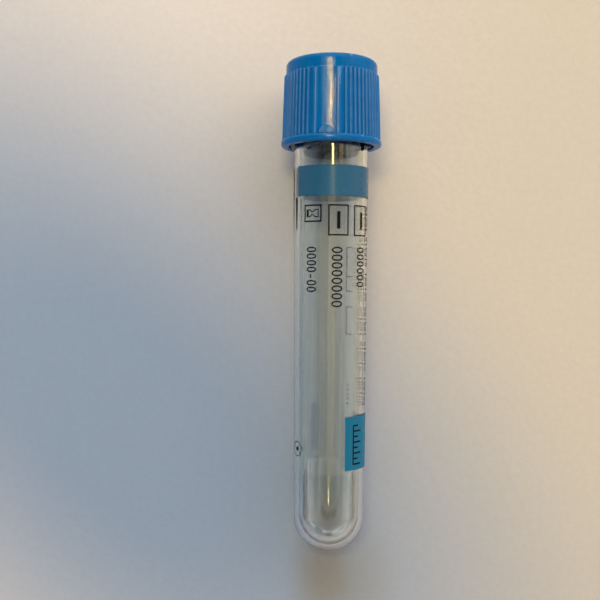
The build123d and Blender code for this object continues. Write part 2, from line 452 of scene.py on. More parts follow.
def noise(tree, vector, scale, detail, roughness):
    """Noise over a vector, about 0 to 1."""
    values = {"vector": vector, "scale": scale, "detail": detail, "roughness": roughness}
    return add_node(tree, "ShaderNodeTexNoise", **values).outputs["Fac"]


def object_place(tree):
    return add_node(tree, "ShaderNodeTexCoord").outputs["Object"]


def finish_surface(tree, shader, colour, roughness, height, relief):
    """Gives a shader its colour and roughness, and a height as relief of a depth in metres."""
    put(tree, shader.inputs["Base Color"], colour)
    put(tree, shader.inputs["Roughness"], roughness)
    bump = add_node(tree, "ShaderNodeBump", height=height, distance=relief)
    put(tree, shader.inputs["Normal"], bump.outputs["Normal"])


def scaled(colour, factor):
    return tuple(min(1.0, c * factor) for c in colour)


# --- effects that several finishes share ---


def node_group(name, inputs, outputs):
    """Lets a function fill a shader group at its first use. A socket is a vector where its value is a tuple."""

    def wrap(fill):
        def group():
            if name in bpy.data.node_groups:
                return bpy.data.node_groups[name]
            tree = bpy.data.node_groups.new(name, "ShaderNodeTree")
            for way, sockets in (("INPUT", inputs), ("OUTPUT", outputs)):
                for label, value in sockets.items():
                    kind = "NodeSocketVector" if isinstance(value, tuple) else "NodeSocketFloat"
                    tree.interface.new_socket(label, in_out=way, socket_type=kind).default_value = value
            given, out = tree.nodes.new("NodeGroupInput"), tree.nodes.new("NodeGroupOutput")
            for label, socket in fill(tree, given.outputs).items():
                tree.links.new(socket, out.inputs[label])
            return tree

        return group

    return wrap


def place_group(tree, group, **values):
    """Outputs of a shared effect set into a material with its own values."""
    return add_node(tree, "ShaderNodeGroup", node_tree=group(), **values).outputs


@node_group("Tube place", {}, {"Place": (0.0, 0.0, 0.0), "Height": 0.0})
def tube_place_group(tree, given):
    """Place in the tube's own frame, in mm: X across, Y along from the base's pole, Z up."""
    location = -(Matrix.Rotation(-TILT, 3, "X") @ POLE) / MM
    turned = add_node(
        tree, "ShaderNodeMapping", vector=object_place(tree), location=location, rotation=(-TILT, 0, 0),
        scale=(1 / MM,) * 3,
    ).outputs["Vector"]
    return {"Place": turned, "Height": add_node(tree, "ShaderNodeSeparateXYZ", vector=turned).outputs["Y"]}


@node_group(
    "Moulded grain",
    {"Grain Scale": 4.0, "Drift Scale": 0.35, "Stretch": (1.0, 1.0, 1.0)},
    {"Grain": 0.0, "Drift": 0.0},
)
def grain_group(tree, given):
    """Fine grain of moulded plastic or rubber, and a slower drift over it."""
    stretched = vectors(tree, "MULTIPLY", place_group(tree, tube_place_group)["Place"], given["Stretch"])
    return {
        label: noise(tree, stretched, given[f"{label} Scale"], detail, 0.6)
        for label, detail in (("Grain", 4.0), ("Drift", 2.0))
    }


@node_group("Hair scratches", {"Scale": 1.0, "Amount": 1.0}, {"Mask": 0.0})
def scratches_group(tree, given):
    """Hair scratches, mostly along the tube, as a mask."""
    place = place_group(tree, tube_place_group)["Place"]
    hairs = []
    for turn, low in ((0.35, 0.62), (-0.5, 0.64)):
        mapping = add_node(tree, "ShaderNodeMapping", vector=place, rotation=(0, 0, turn), scale=(1.6, 0.05, 1.6))
        streaks = noise(tree, mapping.outputs["Vector"], given["Scale"], 1.0, 0.5)
        hairs.append(spread(tree, streaks, 0, 1, low, low + 0.06))
    return {"Mask": maths(tree, "MULTIPLY", maths(tree, "MAXIMUM", *hairs), given["Amount"])}


@node_group("Worn and highlit edges", {"Start": 0.515, "End": 0.56}, {"Mask": 0.0})
def wear_and_highlight_group(tree, given):
    """Where edges stand out, as a mask of paler edges: wear, and on the cap's rib crests a painted highlight."""
    point = add_node(tree, "ShaderNodeNewGeometry").outputs["Pointiness"]
    patches = place_group(tree, grain_group, drift_scale=0.9)["Drift"]
    return {"Mask": maths(tree, "MULTIPLY", spread(tree, point, 0, 1, given["Start"], given["End"]), patches)}


# --- finishes ---

# what the clear plastics let through at the round base, seen and for lamps, up to a height on the tube: seen, they turn
# clearer there, painted light for the light that the base and the pool focus; lamps get a warmer tint, for a warmer
# shadow below the base
CLEAR_FOOT, CLEAR_FROM, LAMPS_FROM, CLEAR_TO = (1.0, 1.0, 0.99), 3.0, 4.0, 14.0
LAMP_FOOT = (0.985, 0.965, 0.93)


def start_material(name, **values):
    """Material with its Principled shader's plain values set by input name."""
    made = bpy.data.materials.new(name)
    made.use_nodes = True
    shader = made.node_tree.nodes["Principled BSDF"]
    for label, value in values.items():
        shader.inputs[label].default_value = value
    return made, made.node_tree, shader


def clear_plastic(name, tint, deeper, slanted, index, smooth, rough, edge_tint, waves):
    """Clear moulded plastic or liquid. Lamps shine on through it, less where they graze it, for a light shadow.

    Seen through, it goes from tint to deeper in drifts and to slanted at its sides; lamps see edge_tint there.
    """
    made, tree, shader = start_material(name, **{"Transmission Weight": 1.0, "IOR": index})
    grain = place_group(tree, grain_group, grain_scale=2.2, drift_scale=0.25, stretch=(1.0, 0.16, 1.0))
    scratches = place_group(tree, scratches_group)
    height = place_group(tree, tube_place_group)["Height"]
    facing = add_node(tree, "ShaderNodeLayerWeight").outputs["Facing"]
    colour = fade(tree, facing, 0.1, 0.5, fade(tree, grain["Drift"], 0.3, 0.7, tint, deeper), slanted)
    # painted light: the plastics turn clearer towards the round base
    colour = fade(tree, height, CLEAR_FROM, CLEAR_TO, CLEAR_FOOT, colour)
    finish_surface(tree, shader, colour, spread(tree, scratches["Mask"], smooth, rough), grain["Grain"], waves)
    straight = fade(tree, height, LAMPS_FROM, CLEAR_TO, LAMP_FOOT, WHITE)
    grazed = fade(tree, facing, 0.35, 0.75, straight, edge_tint)
    through = add_node(tree, "ShaderNodeBsdfTransparent", color=grazed).outputs["BSDF"]
    path = add_node(tree, "ShaderNodeLightPath")
    seen = shader.outputs["BSDF"]
    for ray in ("Is Shadow Ray", "Is Diffuse Ray"):
        mix = add_node(tree, "ShaderNodeMixShader")
        for entry, socket in zip(mix.inputs, (path.outputs[ray], seen, through)):
            tree.links.new(socket, entry)
        seen = mix.outputs["Shader"]
    tree.links.new(seen, tree.nodes["Material Output"].inputs["Surface"])
    return made


def flank_share(tree):
    """Socket that tells how far a face turns sideways from the round wall: 0 on the wall, near 1 on a rib's flank."""
    out = vectors(tree, "MULTIPLY", place_group(tree, tube_place_group)["Place"], (1, 0, 1))
    normal = add_node(tree, "ShaderNodeNewGeometry").outputs["Normal"]
    sideways = vectors(tree, "CROSS_PRODUCT", vectors(tree, "NORMALIZE", out), normal)
    return maths(tree, "ABSOLUTE", add_node(tree, "ShaderNodeSeparateXYZ", vector=sideways).outputs["Y"])


def moulded(name, colour, paler, roughness, grain_size, relief, turning=0.0, waver=0.0, flanks=0.0, **values):
    """Coloured moulded plastic or rubber: drifting colour, paler edges (wear, and on the cap's rib crests a painted
    highlight), grain and scratches.

    turning adds the fine rings that a turned mould leaves round the axis, waver adds slow waves, both to the
    relief, and flanks makes the sides of ribs rougher.
    """
    made, tree, shader = start_material(name, **values)
    grain = place_group(tree, grain_group, grain_scale=grain_size)
    wear_and_highlight = place_group(tree, wear_and_highlight_group)
    scratches = place_group(tree, scratches_group)
    body = fade(tree, grain["Drift"], 0.3, 0.7, scaled(colour, 0.94), scaled(colour, 1.06))
    dull = spread(tree, grain["Grain"], roughness * 0.85, roughness * 1.2, 0.3, 0.7)
    dull = maths(tree, "ADD", dull, spread(tree, scratches["Mask"], 0, 0.18))
    if flanks:
        dull = maths(tree, "ADD", dull, spread(tree, flank_share(tree), 0, flanks, 0.1, 0.35))
    height = grain["Grain"]
    if turning:
        along = place_group(tree, tube_place_group)["Height"]
        rings = add_node(
            tree, "ShaderNodeTexNoise", noise_dimensions="1D", w=along, scale=5.0, detail=2.0, roughness=0.7
        )
        height = maths(tree, "MULTIPLY_ADD", rings.outputs["Fac"], turning, height)
    if waver:
        height = maths(tree, "MULTIPLY_ADD", noise(tree, object_place(tree), 260.0, 1.0, 0.4), waver, height)
    # paler where edges stand out: wear, and a painted highlight on the cap's rib crests
    finish_surface(tree, shader, mix_colours(tree, wear_and_highlight["Mask"], body, paler), dull, height, relief)
    return made


def ink(name, colour, roughness, gloss):
    """Printing ink on film: slightly uneven cover and a fine tooth."""
    made, tree, shader = start_material(name, **{"Specular IOR Level": gloss})
    grain = place_group(tree, grain_group, grain_scale=9.0, drift_scale=0.8)
    cover = fade(tree, grain["Grain"], 0.35, 0.75, scaled(colour, 0.93), scaled(colour, 1.12))
    dull = spread(tree, grain["Drift"], roughness * 0.85, roughness * 1.15, 0.3, 0.7)
    finish_surface(tree, shader, cover, dull, grain["Grain"], 0.000004)
    return made


def dress(piece, made, slot, body, *nodes):
    """Gives a piece its material, and lets it stand for its CAD node on that body. The slot is not used."""
    piece.data.materials.append(made)
    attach(piece, body)
    if nodes:
        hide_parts(*nodes)
    return piece


# --- the pieces ---


class BuildOuterTube(bpy.types.Operator):
    """Build the outer tube with the thread lugs on its neck"""

    bl_idname = "coagulation_tube.outer_tube"
    bl_label = "Outer tube"

    def execute(self, context):
        angles = full_turn(context.scene.tube_sizes.facets)

        def lugs(height):
            share = thread_profile(angles, height, LUG_LOW, LUG_FIRST, LUG_TURN, NECK_RADIUS, LUG_ROOT, LUG_CREST)
            return NECK_RADIUS + LUG_HEIGHT * share

        mouth = OUTER_RIM - LIP_GAP
        rows = bowl(0, BASE_RADIUS, NECK_RADIUS, NECK_START)
        rows += [(lugs(h), h) for h in np.arange(*LUG_ROWS)]
        rows += [(NECK_RADIUS, mouth), *bowl(OUTER_BORE_POLE, OUTER_BORE_LOW, OUTER_BORE_HIGH, mouth)[::-1]]
        piece = wound("outer_tube_shell", rows, angles, False)
        finish = clear_plastic(
            "clear outer plastic", (0.905, 0.92, 0.915), (0.89, 0.91, 0.9), (0.9, 0.93, 0.92), 1.56, 0.015, 0.12,
            (0.46, 0.44, 0.41), 0.000004,
        )
        dress(piece, finish, "clear_outer", "tube", "outer_tube")
        return {"FINISHED"}


class BuildInnerTube(bpy.types.Operator):
    """Build the inner tube, hung by its lip on the outer tube's mouth"""

    bl_idname = "coagulation_tube.inner_tube"
    bl_label = "Inner tube"

    def execute(self, context):
        angles = full_turn(context.scene.tube_sizes.facets)
        below_lip = 70.0
        lip = rounded(
            [
                (INNER_HIGH, OUTER_RIM, 0),
                (NECK_RADIUS, OUTER_RIM, 0),
                (NECK_RADIUS, TUBE_LENGTH, LIP_EDGE),
                (BORE_HIGH, TUBE_LENGTH, LIP_EDGE),
                (bore_radius(below_lip), below_lip, 0),
            ]
        )
        rows = bowl(INNER_POLE, INNER_LOW, INNER_HIGH, OUTER_RIM)[:-1] + lip
        rows += bowl(BORE_POLE, BORE_LOW, bore_radius(below_lip), below_lip)[-2::-1]
        piece = wound("inner_tube_shell", rows, angles, False)
        finish = clear_plastic(
            "clear inner plastic", (0.905, 0.925, 0.915), (0.89, 0.91, 0.9), (0.85, 0.89, 0.875), 1.49, 0.03, 0.16,
            (0.56, 0.55, 0.52), 0.000006,
        )
        dress(piece, finish, "clear_inner", "tube", "inner_tube")
        return {"FINISHED"}


class BuildSolution(bpy.types.Operator):
    """Build the citrate solution that lies as a pool along the tube's low side"""

    bl_idname = "coagulation_tube.solution"
    bl_label = "Citrate solution"

    def execute(self, context):
        centre = BORE_POLE + BORE_LOW
        pool_low = BORE_LOW - POOL_CLEARANCE
        full_end = POOL_END - POOL_NOSE
        heights = [*np.linspace(centre + 0.4, full_end, 10)]
        heights += [full_end + POOL_NOSE * math.sin(math.radians(90 * k / 14)) for k in range(1, 15)]
        stations = dome(pool_low, centre, 18)[1:] + [(bore_radius(h) - POOL_CLEARANCE, h) for h in heights]
        arc, chord = 48, 24
        rows = []
        for radius, height in stations:
            level = -(height - centre) * math.tan(TILT)
            past = max(height - full_end, 0) / POOL_NOSE
            level = -radius + (level + radius) * math.sqrt(max(1 - past**2, 0))
            edge = min(level + POOL_CLIMB * (1 - past), radius)
            half = math.sqrt(max(radius**2 - edge**2, 0))
            start = math.atan2(half, edge)
            row = [
                (radius * math.sin(a), radius * math.cos(a))
                for a in np.linspace(start, 2 * math.pi - start, arc + 1)
            ]
            for x in np.linspace(-half, half, chord + 1)[1:-1]:
                rise = (edge - level) * math.exp(-(half - abs(x)) / POOL_CLIMB_WIDTH)
                row.append((x, min(level + rise, edge)))
            rows.append([POLE + ALONG * (height * MM) + ACROSS * (x * MM) + UPWARD * (z * MM) for x, z in row])
        width = len(rows[0])
        points = [POLE + ALONG * ((centre - pool_low) * MM)] + [p for row in rows for p in row]
        ids = np.arange(len(rows) * width).reshape(len(rows), width) + 1
        ids = np.vstack([np.zeros((1, width), int), ids])
        faces = grid_faces(ids, False, True) + [[int(n) for n in ids[-1]]]
        piece = finish_mesh("solution_pool", points, faces, 60.0)
        finish = clear_plastic(
            "citrate solution", WHITE, (0.98, 0.99, 0.985), (0.97, 0.99, 0.98), 1.336, 0.0, 0.02, WHITE, 0.000001
        )
        dress(piece, finish, "solution", "tube", "citrate_solution")
        return {"FINISHED"}


def film_radius(height):
    return wall_radius(height) + FILM_THICKNESS


class BuildLabelFilm(bpy.types.Operator):
    """Build the clear film round the outer tube"""

    bl_idname = "coagulation_tube.label_film"
    bl_label = "Label film"

    def execute(self, context):
        angles = np.radians(np.linspace(FILM_START, FILM_START + FILM_TURN, 180))
        gap = 0.004
        heights = np.linspace(LABEL_BOTTOM, LABEL_TOP, 18)
        rows = [(wall_radius(h) + gap, h) for h in heights]
        rows += [(film_radius(h), h) for h in heights[::-1]]
        points = np.vstack([positions(r, h, angles) for r, h in rows])
        ids = np.arange(len(points)).reshape(len(rows), len(angles))
        faces = grid_faces(ids, True, False)
        faces += [[int(n) for n in ids[:, 0]], [int(n) for n in ids[::-1, -1]]]
        piece = finish_mesh("label_film", points, faces)
        made, tree, shader = start_material("label film", Alpha=0.035, IOR=1.5)
        grain = place_group(tree, grain_group, grain_scale=1.2, drift_scale=0.12)
        scratches = place_group(tree, scratches_group)
        colour = mix_colours(tree, grain["Drift"], (0.62, 0.68, 0.70), (0.74, 0.78, 0.78))
        finish_surface(tree, shader, colour, spread(tree, scratches["Mask"], 0.22, 0.4), grain["Grain"], 0.00001)
        dress(piece, made, "label_film", "tube", "label")
        return {"FINISHED"}


# --- print on the film ---


def in_degrees(width):
    """Angle that a width in mm takes up round the tube."""
    return math.degrees(width / NECK_RADIUS)


class Print:
    """Thin strips of ink on the film, gathered into one mesh."""

    def __init__(self, proud):
        self.points, self.faces, self.proud = [], [], proud / MM

    def strip(self, pairs, closed=False):
        """Strip between pairs of (degrees, height) points, one each side of it, closed into a ring or ended."""
        sunk = 0.01
        ids = []
        for one, other in pairs:
            for lift in (-sunk, self.proud):
                for angle, height in (one, other):
                    self.points.append(positions(film_radius(height) + lift, height, math.radians(angle)))
            n = len(self.points) - 4
            ids.append((n, n + 1, n + 3, n + 2))
        ids = np.array(ids)
        self.faces += grid_faces(ids, closed, True)
        if not closed:
            self.faces += [[int(n) for n in ids[0]], [int(n) for n in ids[-1][::-1]]]

    def bar(self, start, end, low, high):
        """Plain bar between two angles and two heights."""
        count = max(2, int(abs(end - start) / 1.5) + 2)
        self.strip([((a, low), (a, high)) for a in np.linspace(start, end, count)])

    def loop(self, centre_angle, centre_height, half_angle, half_height, stroke, points=28):
        """Ring of ink: an ellipse with a stroke in mm."""
        halves = ((half_angle, half_height), (half_angle - in_degrees(stroke), half_height - stroke))
        pairs = [
            [(centre_angle + a * math.cos(t), centre_height + h * math.sin(t)) for a, h in halves]
            for t in full_turn(points)
        ]
        self.strip(pairs, closed=True)

    def outline(self, start, end, low, high, stroke):
        """Frame of ink between two angles and two heights, its corners square."""
        wide = in_degrees(stroke)
        count = max(3, int(abs(end - start) / 1.5) + 2)

        def around(a0, a1, h0, h1):
            run = list(np.linspace(a0, a1, count))
            points = [(a, h0) for a in run] + [(a1, h) for h in np.linspace(h0, h1, 6)[1:-1]]
            points += [(a, h1) for a in run[::-1]] + [(a0, h) for h in np.linspace(h1, h0, 6)[1:-1]]
            return points

        outer = around(start, end, low, high)
        inner = around(start + wide, end - wide, low + stroke, high - stroke)
        self.strip(list(zip(outer, inner)), closed=True)

    def path(self, points, stroke):
        """Line of ink through (degrees, height) points."""
        flat = np.array([(math.radians(a) * NECK_RADIUS, h) for a, h in points])
        along = np.gradient(flat, axis=0)
        beside = np.stack((-along[:, 1], along[:, 0]), 1) / np.linalg.norm(along, axis=1)[:, None] * stroke / 2
        self.strip([[(in_degrees(x), h) for x, h in (middle + off, middle - off)] for middle, off in zip(flat, beside)])

    def disc(self, centre_angle, centre_height, half_angle, half_height, points=12):
        """Filled ellipse."""
        pairs = []
        for k in range(points + 1):
            t = math.pi * k / points
            a, h = -math.cos(t) * half_angle, math.sin(t) * half_height
            pairs.append(((centre_angle + a, centre_height - h), (centre_angle + a, centre_height + h)))
        self.strip(pairs[1:-1])

    def noughts(self, start, end, high, low, count, stroke, dash_at=None):
        """Column of plain noughts read downwards, with a dash in place of one of them."""
        pitch = (high - low) / count
        for k in range(count):
            height = high - pitch * (k + 0.5)
            if k == dash_at:
                middle = start + (end - start) * 0.42
                half = in_degrees(stroke) / 2
                self.bar(middle - half, middle + half, height - pitch * 0.3, height + pitch * 0.3)
            else:
                self.loop((start + end) / 2, height, abs(end - start) / 2, pitch * 0.42, stroke)

    def piece(self, name, made):
        piece = finish_mesh(name, self.points, self.faces, 50.0)
        return dress(piece, made, "label_film", "tube")


class BuildPrint(bpy.types.Operator):
    """Build the ink on the label: the header band, the lower box and the plain marks"""

    bl_idname = "coagulation_tube.label_print"
    bl_label = "Label print"

    def execute(self, context):
        sizes, colours = context.scene.tube_sizes, context.scene.tube_colours
        proud, stroke = sizes.ink_height, sizes.stroke / MM

        band = Print(proud)
        band.bar(-61.8, 262.0, 58.96, 63.89)
        band.piece("label_band", ink("band ink", colours.band, 0.25, 0.25))

        box = Print(proud)
        box.bar(23.3, 118.0, 14.43, 23.14)
        box.piece("label_box", ink("box ink", colours.box, 0.4, 0.15)).visible_shadow = False

        marks = Print(proud)
        for start, end, low in ((-45.1, -15.7, 54.7), (-5.8, 25.75, 52.5), (35.4, 66.0, 52.5)):
            marks.outline(start, end, low, 57.5, stroke)
        # an hourglass lying on its side in the first frame, its lower bulb full
        marks.bar(-41.0, -37.0, 55.5, 56.7)
        for side in (-1, 1):
            flank = [(-37.0, 0.6), (-34.5, 0.55), (-31.5, 0.22), (-29.5, 0.22), (-26.5, 0.55), (-20.5, 0.6)]
            marks.path([(a, 56.1 + side * h) for a, h in flank], stroke * 0.75)
        marks.bar(-21.6, -20.5, 55.5, 56.7)
        # plain bars in the other two
        marks.bar(7.5, 12.5, 53.6, 56.4)
        marks.bar(48.5, 53.5, 53.6, 56.4)
        # noughts under the frames
        marks.noughts(-40.7, -23.8, 50.8, 43.3, 7, stroke, dash_at=4)
        marks.noughts(-0.2, 16.4, 50.8, 40.9, 8, stroke)
        marks.noughts(42.0, 59.2, 50.8, 44.1, 6, stroke)
        # a rule and a row of small rings and dashes down the side
        marks.bar(60.3, 61.1, 24.0, 47.3)
        marks.bar(61.3, 62.1, 47.9, 57.5)
        for k, height in enumerate(np.arange(57.0, 24.6, -0.82)):
            if k % 7 == 5:
                continue
            if k % 3 == 1:
                marks.bar(66.0, 75.0, height - 0.1, height + 0.1)
            else:
                marks.loop(70.0, height, 4.5, 0.33, 0.13, 12)
        # ring with a dot
        marks.loop(-62.7, 17.55, 12.0, 1.25, stroke * 0.5, 36)
        marks.disc(-62.7, 17.55, 3.5, 0.35)
        # two tapering strokes beside the band
        for middle, half, top in ((-83.0, 3.0, 63.9), (-66.0, 3.6, 58.8)):
            heights = np.linspace(top, 53.4, 12)
            halves = half * np.sqrt(np.linspace(1, 0.01, 12))
            marks.strip([((middle - w, h), (middle + w, h)) for h, w in zip(heights, halves)])
        # ruled lines with ticks on the far side
        for low, high, ticks in ((36.0, 40.9, (36.1, 40.8)), (43.4, 51.1, (43.5, 46.0, 51.0))):
            marks.bar(141.5, 144.0, low, high)
            for height in ticks:
                marks.bar(126.0, 141.5, height - 0.11, height + 0.11)
        for height in np.arange(24.2, 27.6, 0.8):
            marks.bar(132.0, 140.0, height - 0.12, height + 0.12)
        marks.piece("label_marks", ink("black ink", colours.ink, 0.4, 0.08))

        # a fill scale over the lower box
        scale = Print(proud * 2)
        scale.bar(37.5, 39.8, 15.3, 21.8)
        for k, height in enumerate(np.linspace(15.4, 21.7, 8)):
            reach = 56.0 if k % 2 == 0 else 49.0
            scale.bar(39.8, reach, height - 0.13, height + 0.13)
        scale.piece("label_scale", bpy.data.materials["black ink"])
        return {"FINISHED"}


class BuildStopper(bpy.types.Operator):
    """Build the rubber stopper"""

    bl_idname = "coagulation_tube.stopper"
    bl_label = "Stopper"

    def execute(self, context):
        edge = STOPPER_EDGE
        corners = [
            (HOLLOW_RADIUS, HOLLOW_TOP, PLUG_EDGE),
            (HOLLOW_RADIUS, PLUG_LOW, edge),
            (bore_radius(PLUG_LOW) - PLUG_CLEARANCE, PLUG_LOW, PLUG_EDGE),
            (BORE_HIGH - PLUG_CLEARANCE, SEAT, 0),
            (SEAT_RADIUS, SEAT, edge),
            (SEAT_RADIUS, SEAT_TOP, edge),
            (GROOVE_RADIUS, SEAT_TOP, 0),
            (GROOVE_RADIUS, GROOVE_TOP, 0),
            (HEAD_RADIUS, GROOVE_TOP, edge),
            (HEAD_RADIUS, HEAD_TOP, edge),
            (WELL_RADIUS, HEAD_TOP, edge),
            (WELL_RADIUS, WELL_FLOOR, edge),
            (0.0, WELL_FLOOR, 0),
            (0.0, HOLLOW_TOP, 0),
        ]
        piece = wound("stopper_rubber", rounded(corners), full_turn(ROUND_FACETS), True)
        rubber = context.scene.tube_colours.rubber
        finish = moulded("stopper rubber", rubber, scaled(rubber, 1.5), 0.62, 5.0, 0.000012, IOR=1.5)
        dress(piece, finish, "rubber", "plug", "stopper")
        return {"FINISHED"}


class BuildCapRing(bpy.types.Operator):
    """Build the ring that holds the stopper in the cap"""

    bl_idname = "coagulation_tube.cap_ring"
    bl_label = "Cap ring"

    def execute(self, context):
        foot, shelf, ceiling = SEAT_TOP + RING_GAP, GROOVE_TOP - RING_GAP, CAP_CEILING - RING_GAP
        grip, collar, rim = GROOVE_RADIUS + RING_GRIP, HEAD_RADIUS + RING_GRIP, TOP_HOLE - RING_GAP
        corners = [
            (grip, foot, RING_EDGE),
            (CAP_BORE - RING_GAP, foot, RING_EDGE),
            (CAP_BORE - RING_GAP, ceiling, 0),
            (rim, ceiling, 0),
            (rim, RING_TOP, RING_EDGE),
            (collar, RING_TOP, RING_EDGE),
            (collar, shelf, 0),
            (grip, shelf, RING_EDGE),
        ]
        piece = wound("ring_moulding", rounded(corners), full_turn(ROUND_FACETS), True)
        ring = context.scene.tube_colours.ring
        finish = moulded("ring plastic", ring, scaled(ring, 2.0), 0.4, 4.0, 0.000006)
        dress(piece, finish, "ring_black", "closure", "cap_ring")
        return {"FINISHED"}


def cap_angles():
    """Angles round the cap, close together where ribs, borders and bosses need them."""
    steps = {RIB_HALF: (0.0, 0.5, 1.1, 1.6, 1.85), BORDER_HALF: (0.0, 0.9, 1.8, 2.6, 3.2)}
    found = [*np.linspace(-10.4, 10.4, 27)]
    found += [FIRST_RIB + (k + 0.5) * RIB_STEP for k in range(RIBS - 1)]
    for place, half in RIB_PLACES:
        found += {place + side * step for step in steps[half] for side in (-1, 1)}
    return np.radians(sorted((panel + a) % 360 for panel in PANELS for a in found))


class BuildCap(bpy.types.Operator):
    """Build the screw cap: rolled flange, ribs, panels, bosses, open top and inner ridges"""

    bl_idname = "coagulation_tube.cap"
    bl_label = "Cap"

    def execute(self, context):
        angles = cap_angles()
        degrees = np.degrees(angles)

        def away(centre):
            return (degrees - centre + 180) % 360 - 180

        ribs = np.full(len(angles), -1.0)
        for panel in PANELS:
            for place, half in RIB_PLACES:
                off = np.abs(away(panel + place)) / half
                ribs = np.maximum(ribs, (RIB_HEIGHT + RIB_SINK) * np.sqrt(np.clip(1 - off**2, 0, 1)) - RIB_SINK)

        def root(height):
            return ROOT_LOW + (ROOT_HIGH - ROOT_LOW) * (height - ROLLED_TOP) / (COLLAR_BOTTOM - ROLLED_TOP)

        def side(height):
            """Outside between the flange and the collar, ribs with their rounded tops and bosses included."""
            past = max(height - COLLAR_BOTTOM + RIB_TOP_EDGE, 0) / RIB_TOP_EDGE
            radius = root(height) + np.maximum(ribs, 0) * math.sqrt(max(1 - past**2, 0))
            for panel in PANELS:
                turn = np.radians(away(panel))
                across = BOSS_FACE * np.tan(np.clip(turn, -0.3, 0.3))
                inside = BOSS_RADIUS - np.hypot(across, height - ROLLED_TOP)
                share = np.clip(inside / 0.1, 0, 1) * (np.abs(turn) < 0.3)
                face = BOSS_FACE / np.cos(turn)
                radius = np.where(share > 0, np.maximum(radius, root(height) + (face - root(height)) * share), radius)
            return radius

        def flange_top(height):
            """The flange's upper rounding, with the feet of the ribs and bosses."""
            middle = ROLLED_TOP - ROLLED_EDGE
            rolled = ROLLED_RADIUS - ROLLED_EDGE + math.sqrt(max(ROLLED_EDGE**2 - (height - middle) ** 2, 0))
            return np.maximum(rolled, np.where(ribs > 0, root(height) + ribs, 0))

        def ridges(height):
            share = thread_profile(
                angles, height, RIDGE_LOW, RIDGE_FIRST, RIDGE_TURN, CAP_BORE, RIDGE_ROOT_WIDTH, RIDGE_TIP_WIDTH
            )
            return CAP_BORE - (CAP_BORE - RIDGE_TIP) * share

        lower = rounded(
            [
                (CAP_BORE, ROLLED_TOP, 0),
                (CAP_BORE, CAP_BOTTOM, MOUTH_EDGE),
                (ROLLED_RADIUS, CAP_BOTTOM, ROLLED_EDGE),
                (ROLLED_RADIUS, ROLLED_TOP, 0),
            ]
        )[1:-1]
        upper = rounded(
            [
                (ROOT_HIGH, COLLAR_BOTTOM, 0),
                (ROOT_HIGH, CAP_TOP, TOP_EDGE),
                (TOP_HOLE, CAP_TOP, HOLE_EDGE),
                (TOP_HOLE, CAP_CEILING, 0),
            ],
            8,
        )

        def rolled_up(start, edge, turns):
            """Heights up a rounding, at turns in degrees."""
            return [start + edge * math.sin(math.radians(t)) for t in turns]

        step, boss_top, rib_top = 0.003, ROLLED_TOP + BOSS_RADIUS, COLLAR_BOTTOM - RIB_TOP_EDGE
        rows = list(lower)
        rows += [(flange_top(h), h) for h in rolled_up(ROLLED_TOP - ROLLED_EDGE, ROLLED_EDGE, range(0, 91, 15))]
        rows += [(side(h), h) for h in np.arange(ROLLED_TOP + step, boss_top + 0.05, 0.08)]
        rows += [(side(h), h) for h in np.linspace(boss_top + 0.15, rib_top, 10)]
        rows += [(side(h), h) for h in rolled_up(rib_top, RIB_TOP_EDGE, (20, 38, 54, 68, 79, 88))]
        rows += [upper[0], (ROOT_HIGH, COLLAR_BOTTOM + 0.02), (ROOT_HIGH, COLLAR_BOTTOM + 0.1), *upper[1:]]
        rows += [(CAP_BORE, CAP_CEILING), (CAP_BORE, BEAD_TOP)]
        rows += [(CAP_BORE - BEAD_REACH, BEAD_TOP - BEAD_HEIGHT / 2), (CAP_BORE, BEAD_TOP - BEAD_HEIGHT)]
        rows += [(ridges(h), h) for h in np.arange(*RIDGE_ROWS)]
        piece = wound("cap_moulding", rows, angles, True, 32.0)
        cap = context.scene.tube_colours.cap
        # the paler colour of the cap's standing-out rib crests is a painted highlight
        finish = moulded(
            "cap plastic", cap, scaled(tuple(c + 0.12 for c in cap), 1.25), 0.1, 3.0, 0.000004,
            turning=3.5, waver=36.0, flanks=0.4, **{"IOR": 1.5, "Specular IOR Level": 0.1},
        )
        dress(piece, finish, "cap_blue", "closure", "cap")
        return {"FINISHED"}


# --- paper, lamps and camera ---

PAPER_REACH, PAPER_CELLS = 0.9, 48  # metres each way from the middle, squares a side
WARM_LAMP = (1.0, 0.87, 0.42)
OVERHEAD = Vector((0, 0, 0.6))
# lamps overhead that only gloss mirrors, as the lines along the neck, the base, the film and the cap:
# name, place, width, length, power and colour
LINE_LAMPS = (
    ("neck line", 0.034, 0.0975, 0.055, 0.042, 0.3, (1.0, 0.85, 0.24)),
    ("neck side line", 0.335, 0.0975, 0.17, 0.042, 0.045, (1.0, 0.76, 0.36)),
    ("base line", -0.029, -0.207, 0.02, 0.02, 0.022, WARM_LAMP),
    ("film line", 0.03, -0.062, 0.24, 0.27, 0.34, (1.0, 0.88, 0.6)),
    ("film sheen", 0.02, -0.07, 0.9, 0.32, 0.7, (0.97, 1.0, 0.94)),
    ("cap line", -0.055, 0.19, 0.09, 0.09, 7.5, (1.0, 0.67, 0.13)),
    ("cap side line", -0.19, 0.215, 0.155, 0.06, 1.0, (0.9, 0.9, 0.6)),
)
CAMERA_PLACE = (-0.005254, -0.001826)  # beside the middle, metres
CAMERA_TURN = (("Z", -0.378), ("X", -1.172), ("Y", 0.084))  # degrees
BOUNCES = 28
# colour, place, length and reach of the painted warm shadow below the tube's foot on the paper: a wide one and its core
PAINTED_FOOT_SHADOWS = (
    ((0.9, 0.82, 0.7), (0.0026, -0.0485), 1.25, 0.0125),
    ((0.9, 0.78, 0.64), (-0.0012, -0.047), 1.6, 0.0068),
)


